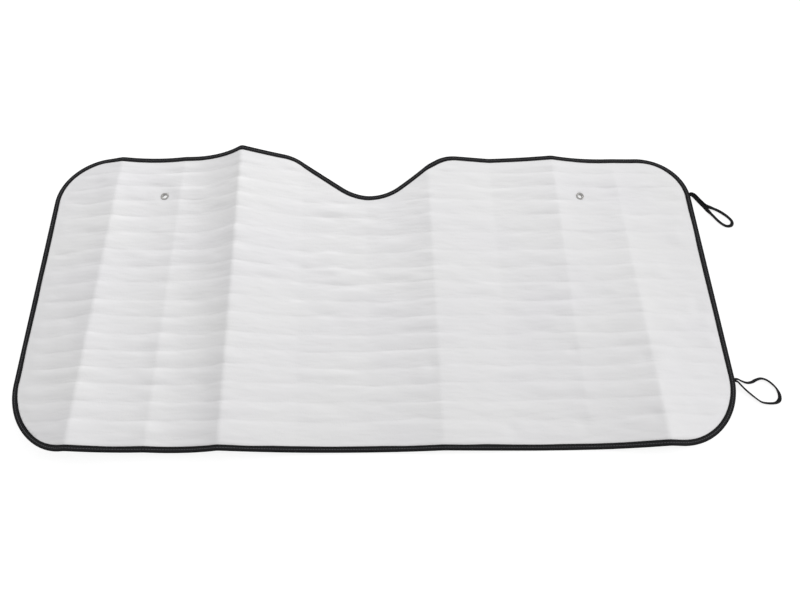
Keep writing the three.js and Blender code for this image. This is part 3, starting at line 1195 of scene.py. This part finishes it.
@dataclass
class Eyelet:
    """A two-piece eyelet: flange and barrel from above, washer and rolled lip below."""

    fold: Fold
    side: Side
    from_middle: float = 425.0
    height: float = 207.0
    bore: float = 4.5
    wall: float = 0.6
    flange: float = 8.0
    seat: float = 1.5
    crown: float = 0.9
    throat: float = 1.5
    roll: tuple[float, float] = (1.1, 0.8)
    lip: float = 6.3
    lip_thickness: float = 0.5
    lip_round: float = 0.25
    washer: float = 0.6
    round_points: int = 6
    turns: int = 64
    smooth_below: float = 50.0

    def place(self) -> tuple[np.ndarray, np.ndarray]:
        """Gives the eyelet's middle in the sheet and the sheet's normal there."""
        s, t = np.array(self.side.value * self.from_middle), np.array(self.height)
        return self.fold.place(s, t), self.fold.normal(s, t)

    def turned(
        self, name: str, profile: list[tuple[float, float]], material: bpy.types.Material
    ) -> bpy.types.Object:
        """Turns a closed profile round the eyelet's axis.

        Args:
            name: The piece's name.
            profile: Radius and height of each point.
            material: The piece's finish.

        Returns:
            The finished piece.
        """
        bpy.ops.object.select_all(action="DESELECT")
        bpy.ops.mesh.primitive_circle_add(vertices=len(profile), radius=MM)
        piece = bpy.context.active_object
        piece.name = piece.data.name = name
        for vertex, (radius, height) in zip(piece.data.vertices, profile):
            vertex.co = (radius * MM, 0.0, height * MM)
        bpy.ops.object.mode_set(mode="EDIT")
        bpy.ops.mesh.select_all(action="SELECT")
        bpy.ops.mesh.spin(steps=self.turns, angle=2 * math.pi, center=(0, 0, 0), axis=(0, 0, 1))
        bpy.ops.mesh.select_all(action="SELECT")
        bpy.ops.mesh.remove_doubles(threshold=0.01 * MM)
        bpy.ops.mesh.normals_make_consistent(inside=False)
        bpy.ops.object.mode_set(mode="OBJECT")
        bpy.ops.object.shade_smooth_by_angle(angle=math.radians(self.smooth_below))
        middle, normal = self.place()
        along = np.cross([0.0, 1.0, 0.0], normal)
        along /= np.linalg.norm(along)
        across = np.cross(normal, along)
        turn = np.stack([along, across, normal], axis=1)
        points = np.empty(len(piece.data.vertices) * 3)
        piece.data.vertices.foreach_get("co", points)
        placed = points.reshape(-1, 3) @ turn.T + middle * MM
        piece.data.vertices.foreach_set("co", placed.ravel())
        piece.data.materials.append(material)
        piece.data.update()
        return piece

    def build(self, material: bpy.types.Material) -> list[bpy.types.Object]:
        """Makes the eyelet and its washer.

        Args:
            material: The metal's finish.

        Returns:
            The eyelet and the washer.
        """
        name = self.side.name.lower()
        seat, barrel, crown = self.seat, self.bore + self.wall, self.seat + self.crown
        reach, rise = self.roll
        steps = np.linspace(0, math.pi / 2, self.round_points)
        throat = [
            (self.bore + self.throat * (1 - math.sin(a)), crown - self.throat * (1 - math.cos(a)))
            for a in steps[::-1]
        ]
        roll = [
            (self.flange - reach * (1 - math.sin(a)), crown - rise * (1 - math.cos(a))) for a in steps
        ]
        lip, top = self.lip, -self.seat - self.crown
        flange = [
            *throat,
            *roll,
            (self.flange, seat),
            (self.flange - 0.5, seat),
            (barrel + 0.2, seat),
            (barrel, seat - 0.2),
            (barrel, top),
            (lip - self.lip_round, top),
            (lip, top - self.lip_round),
            (lip - self.lip_round, top - self.lip_thickness),
            (self.bore + 0.4, top - self.lip_thickness),
            (self.bore, top - 0.15),
        ]
        under = -seat - self.washer
        washer = [
            (barrel + 0.3, under),
            (barrel + 0.3, -seat),
            (self.flange - 0.2, -seat),
            (self.flange, -seat - 0.15),
            (self.flange, under + 0.15),
            (self.flange - 0.2, under),
        ]
        return [
            self.turned(f"{name}_plated_eyelet", flange, material),
            self.turned(f"{name}_plated_washer", washer, material),
        ]


# Elastic loops


@dataclass
class ElasticLoop:
    """A closing loop of flat braided elastic, sewn into the binding by both ends.

    The braid stands tilted where it leaves the binding and lies flat round the far end of the
    loop. The shares of its length where this turn begins and ends are counted from either end.
    """

    name: str
    route: tuple[tuple[float, float, float], ...]
    length: float
    tilt: float
    turn_from: float
    turn_to: float
    width: float = 6.8
    height: float = 1.9
    sides: int = 12
    step: float = 1.6
    curve_step: float = 0.05
    unevenness: Noise = Noise(0.15, 24.0, 41)
    over_floor: float = 0.08

    def path(self) -> np.ndarray:
        """Draws a smooth curve through the route.

        Returns:
            Evenly spaced points along it.
        """
        points = np.array(self.route, dtype=float)
        points = np.concatenate([[2 * points[0] - points[1]], points, [2 * points[-1] - points[-2]]])
        curve = []
        for p0, p1, p2, p3 in zip(points, points[1:], points[2:], points[3:]):
            for w in np.arange(0, 1, self.curve_step):
                square = (2 * p0 - 5 * p1 + 4 * p2 - p3) * w**2
                cube = (3 * p1 - p0 - 3 * p2 + p3) * w**3
                curve.append(0.5 * (2 * p1 + (p2 - p0) * w + square + cube))
        line = np.array([*curve, points[-2]])
        length = lengths(line)[-1]
        return points_at(line, np.linspace(0, length, int(length / self.step)))

    def lean(self, count: int) -> np.ndarray:
        """Gives the angle by which the braid is turned about its own line.

        Args:
            count: Number of points along the braid.

        Returns:
            One angle for each point.
        """
        share = np.linspace(0, 1, count)
        part = (np.minimum(share, 1 - share) - self.turn_from) / (self.turn_to - self.turn_from)
        tilted = np.sign(share - 0.5) * self.tilt * (1 - ease(np.clip(part, 0, 1)))
        return tilted + self.unevenness.at(np.arange(count) * self.step)

    def build(self, material: bpy.types.Material) -> bpy.types.Object:
        """Args:
            material: The elastic's finish.

        Returns:
            The finished loop.
        """
        path = self.path()
        lean = self.lean(len(path))
        reach = np.hypot(self.width / 2 * np.sin(lean), self.height / 2 * np.cos(lean))
        path[:, 2] = np.maximum(path[:, 2], reach + self.over_floor)
        along = np.gradient(path, axis=0)
        along /= np.linalg.norm(along, axis=1, keepdims=True)
        side = np.cross([0.0, 0.0, 1.0], along)
        side /= np.linalg.norm(side, axis=1, keepdims=True)
        up = np.cross(along, side)
        angles = 2 * math.pi * np.arange(self.sides) / self.sides
        across = np.cos(angles)[None] * self.width / 2
        rise = np.sin(angles)[None] * self.height / 2
        cos, sin = np.cos(lean)[:, None], np.sin(lean)[:, None]
        first, second = across * cos - rise * sin, across * sin + rise * cos
        points = path[:, None] + side[:, None] * first[..., None] + up[:, None] * second[..., None]
        length = np.arange(len(path)) * self.step
        girth = angles * (self.width + self.height) / 4
        flat = np.stack(np.broadcast_arrays(length[:, None], girth[None]), axis=-1).reshape(-1, 2)
        faces = tube_faces(len(path), self.sides, flipped=True)
        loop = make_mesh(f"{self.name}_braided_loop", points.reshape(-1, 3), faces, material, flat)
        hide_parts(f"{self.name}_elastic_loop")
        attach(loop, "root")
        return loop


UPPER_ROUTE = (
    (640.2, 212.4, 5.7), (645.1, 212.3, 5.7), (650.9, 208.3, 5.5), (659.4, 196.1, 4.8),
    (668.7, 184.6, 4.0), (679.6, 179.5, 3.3), (690.1, 174.2, 2.7), (699.4, 167.5, 2.2),
    (708.0, 159.0, 1.9), (713.8, 149.0, 1.6), (710.9, 140.5, 1.5), (702.4, 138.4, 1.5),
    (694.5, 142.3, 1.7), (686.4, 150.8, 2.1), (677.9, 162.7, 2.9), (665.6, 179.4, 4.0),
    (656.3, 192.8, 4.8), (648.3, 205.0, 5.5), (644.5, 208.9, 5.7), (640.2, 209.0, 5.7),
)
LOWER_ROUTE = (
    (640.15, -178.2, 7.6), (646.6, -178.6, 7.5), (653.1, -182.1, 6.7), (662.1, -184.9, 5.5),
    (671.7, -183.5, 4.5), (680.6, -179.2, 3.7), (690.4, -176.4, 2.9), (699.7, -178.6, 2.2),
    (707.5, -184.9, 1.8), (713.8, -193.8, 1.5), (717.1, -204.3, 1.5), (715.4, -214.5, 1.5),
    (708.0, -220.7, 1.5), (696.6, -222.0, 1.5), (683.2, -220.0, 1.8), (674.6, -213.6, 2.6),
    (665.2, -205.0, 3.7), (656.4, -196.4, 5.2), (649.4, -188.2, 6.7), (645.4, -183.2, 7.4),
    (640.15, -181.6, 7.6),
)


# Studio


@dataclass(frozen=True)
class Softbox:
    """A square soft light that faces the sheet's middle.

    Its direction is the one seen from there. Distance and side are in metres, power in watts.
    """

    name: str
    direction: tuple[float, float, float]
    away: float
    size: float
    power: float

    def add(self) -> None:
        """Adds the light to the scene."""
        data = bpy.data.lights.new(self.name, "AREA")
        data.shape = "SQUARE"
        data.size = self.size
        data.energy = self.power
        lamp = bpy.data.objects.new(self.name, data)
        bpy.context.collection.objects.link(lamp)
        x, y, z = np.array(self.direction) / np.linalg.norm(self.direction) * self.away
        lamp.location = (x, y, z)
        lamp.rotation_euler = (math.acos(z / self.away), 0.0, math.atan2(y, x) + math.pi / 2)


@dataclass
class Studio:
    """Camera, floor, surround and soft lights.

    The camera looks down on the sheet from the front. Its length in pixels is for a picture 800
    wide and 600 high, and its middle column is that of the straight-ahead ray.
    """

    picture_width: float = 800.0
    focal_pixels: float = 676.11
    middle_column: float = 372.21
    distance: float = 1277.64
    elevation: float = 66.0
    turn: float = 0.72
    look_ahead: float = 12.39
    look_side: float = -3.75
    sensor: float = 36.0
    sight: float = 60.0
    floor_half: float = 9.0
    surround: float = 0.69
    lamps: tuple[Softbox, ...] = (
        Softbox("side_softbox", (0.86, 0.12, 0.46), away=11.0, size=4.0, power=385.0),
        Softbox("back_softbox", (-0.12, 0.88, 0.5), away=2.2, size=1.1, power=13.4),
    )

    def camera(self) -> bpy.types.Object:
        """Adds the camera and makes it the scene's own.

        Returns:
            The camera.
        """
        data = bpy.data.cameras.new("photo_camera")
        data.sensor_width = self.sensor
        data.lens = self.focal_pixels / self.picture_width * self.sensor
        data.shift_x = (self.picture_width / 2 - self.middle_column) / self.picture_width
        data.clip_end = self.sight
        camera = bpy.data.objects.new("photo_camera", data)
        bpy.context.collection.objects.link(camera)
        turn, lift = math.radians(self.turn), math.radians(self.elevation)
        ahead = np.array([math.sin(turn), math.cos(turn), 0.0])
        target = np.array([self.look_side, 0.0, 0.0]) - self.look_ahead * ahead
        back = np.array([0.0, 0.0, math.sin(lift)]) - math.cos(lift) * ahead
        camera.location = tuple((target + back * self.distance) * MM)
        camera.rotation_euler = (math.radians(90 - self.elevation), 0.0, -turn)
        bpy.context.scene.camera = camera
        return camera

    def floor(self) -> bpy.types.Object:
        """Adds the pale floor, which the camera and mirrors see as white.

        Returns:
            The floor.
        """
        bpy.ops.object.select_all(action="DESELECT")
        bpy.ops.mesh.primitive_plane_add(size=2 * self.floor_half)
        floor = bpy.context.active_object
        floor.name = floor.data.name = "studio_floor"
        floor.data.materials.append(PaleFloor().material())
        return floor

    def world(self) -> None:
        """Sets a plain white surround: soft as light, full white where it is seen."""
        world = bpy.data.worlds.new("studio_surround")
        bpy.context.scene.world = world
        world.use_nodes = True
        tree = world.node_tree
        tree.nodes.clear()
        values = {"Value": seen(tree), "To Min": self.surround, "To Max": 1.0}
        strength = add_node(tree, "ShaderNodeMapRange", inputs=values)
        values = {"Color": (1.0, 1.0, 1.0, 1.0), "Strength": strength.outputs["Result"]}
        sky = add_node(tree, "ShaderNodeBackground", inputs=values)
        add_node(tree, "ShaderNodeOutputWorld", inputs={"Surface": sky.outputs["Background"]})

    def build(self) -> None:
        """Adds the floor, the surround and the lamps."""
        self.floor()
        self.world()
        for lamp in self.lamps:
            lamp.add()


def main() -> None:
    """Builds the sunshade and its studio, piece by piece."""
    logging.basicConfig(level=logging.INFO, format="%(name)s: %(message)s")
    bpy.context.scene.view_settings.view_transform = "Standard"
    bpy.ops.object.select_all(action="DESELECT")

    studio = Studio()
    studio.camera()
    elastic = BraidedElastic().material()
    for loop in (
        ElasticLoop("upper", UPPER_ROUTE, 0.216, tilt=-1.3, turn_from=0.17, turn_to=0.27),
        ElasticLoop("lower", LOWER_ROUTE, 0.2, tilt=0.6, turn_from=0.41, turn_to=0.5),
    ):
        LOG.info("made %s", loop.build(elastic).name)

    fold, cut = Fold(), Cut()
    relief = Relief(fold, cut)
    sheet = FoamSheet(fold, cut, relief).build(SilverFilm().material())
    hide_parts("foam_sheet")
    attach(sheet, "root")
    LOG.info("made %s, %d faces", sheet.name, len(sheet.data.polygons))

    binding = EdgeBinding(fold, cut)
    tape = binding.build(WovenTape().material())
    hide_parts("edge_binding")
    thread = SewingThread().material()
    seams = [binding.seam(thread, face) for face in Face]
    for piece in (tape, *seams):
        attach(piece, "root")
        LOG.info("made %s, %d faces", piece.name, len(piece.data.polygons))

    nickel = NickelPlate().material()
    for side in Side:
        eyelet, washer = Eyelet(fold, side).build(nickel)
        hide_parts(f"{side.name.lower()}_eyelet")
        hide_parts(f"{side.name.lower()}_eyelet_washer")
        for piece in (eyelet, washer):
            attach(piece, "root")
            LOG.info("made %s", piece.name)

    studio.build()


if __name__ == "__main__":
    main()
